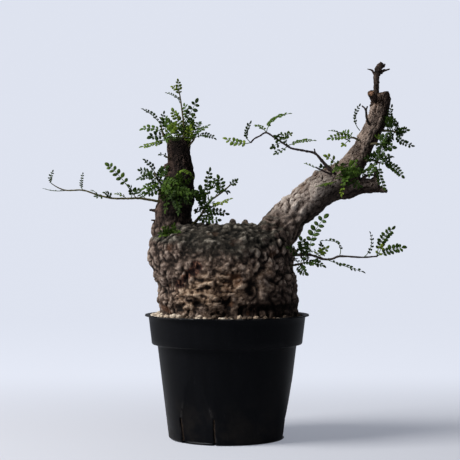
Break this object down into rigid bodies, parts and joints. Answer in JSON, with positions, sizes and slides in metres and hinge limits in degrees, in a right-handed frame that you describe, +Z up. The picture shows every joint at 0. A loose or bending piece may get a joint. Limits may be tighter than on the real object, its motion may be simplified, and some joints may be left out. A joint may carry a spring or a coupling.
{
  "type": "operculicarya pachypus bonsai in a plastic nursery pot",
  "caption": "Caudex bonsai with a knobbly swollen base, a sawn stem, a thick rising limb and small pinnate leaves, standing in a round tapered nursery pot filled with pumice.",
  "frame": {"origin": "the middle of the pot's underside, on the surface it stands on", "axes": "+Z up; +X to the right, towards the thick rising limb; -Y towards the viewer of the picture"},
  "size_m": [0.3396, 0.15, 0.3444],
  "materials": {
    "pot_plastic": "black moulded plastic with a soft sheen",
    "pumice_soil": "dry pale pumice grains over brown soil",
    "bark": "rough grey-brown bark",
    "leaf": "soft-sheened green leaflets on brown twigs"
  },
  "bodies": {
    "root": {"pot": "pot_plastic", "soil": "pumice_soil", "wood": "bark", "crown_tall_shoot": "leaf", "crown_left_spray": "leaf", "crown_right_spray": "leaf", "crown_back_spray": "leaf", "stem_leaf": "leaf", "stem_left_spray": "leaf", "long_left_shoot": "leaf", "stem_right_spray": "leaf", "foot_tuft": "leaf", "long_upper_twig": "leaf", "limb_left_spray": "leaf", "limb_right_upper_spray": "leaf", "limb_right_middle_spray": "leaf", "limb_right_lower_spray": "leaf", "limb_top_tuft": "leaf", "lower_right_shoot": "leaf", "lower_leaf_shoot": "leaf", "stem_back_spray": "leaf", "limb_back_spray": "leaf", "limb_upper_back_spray": "leaf"}
  },
  "joints": []
}
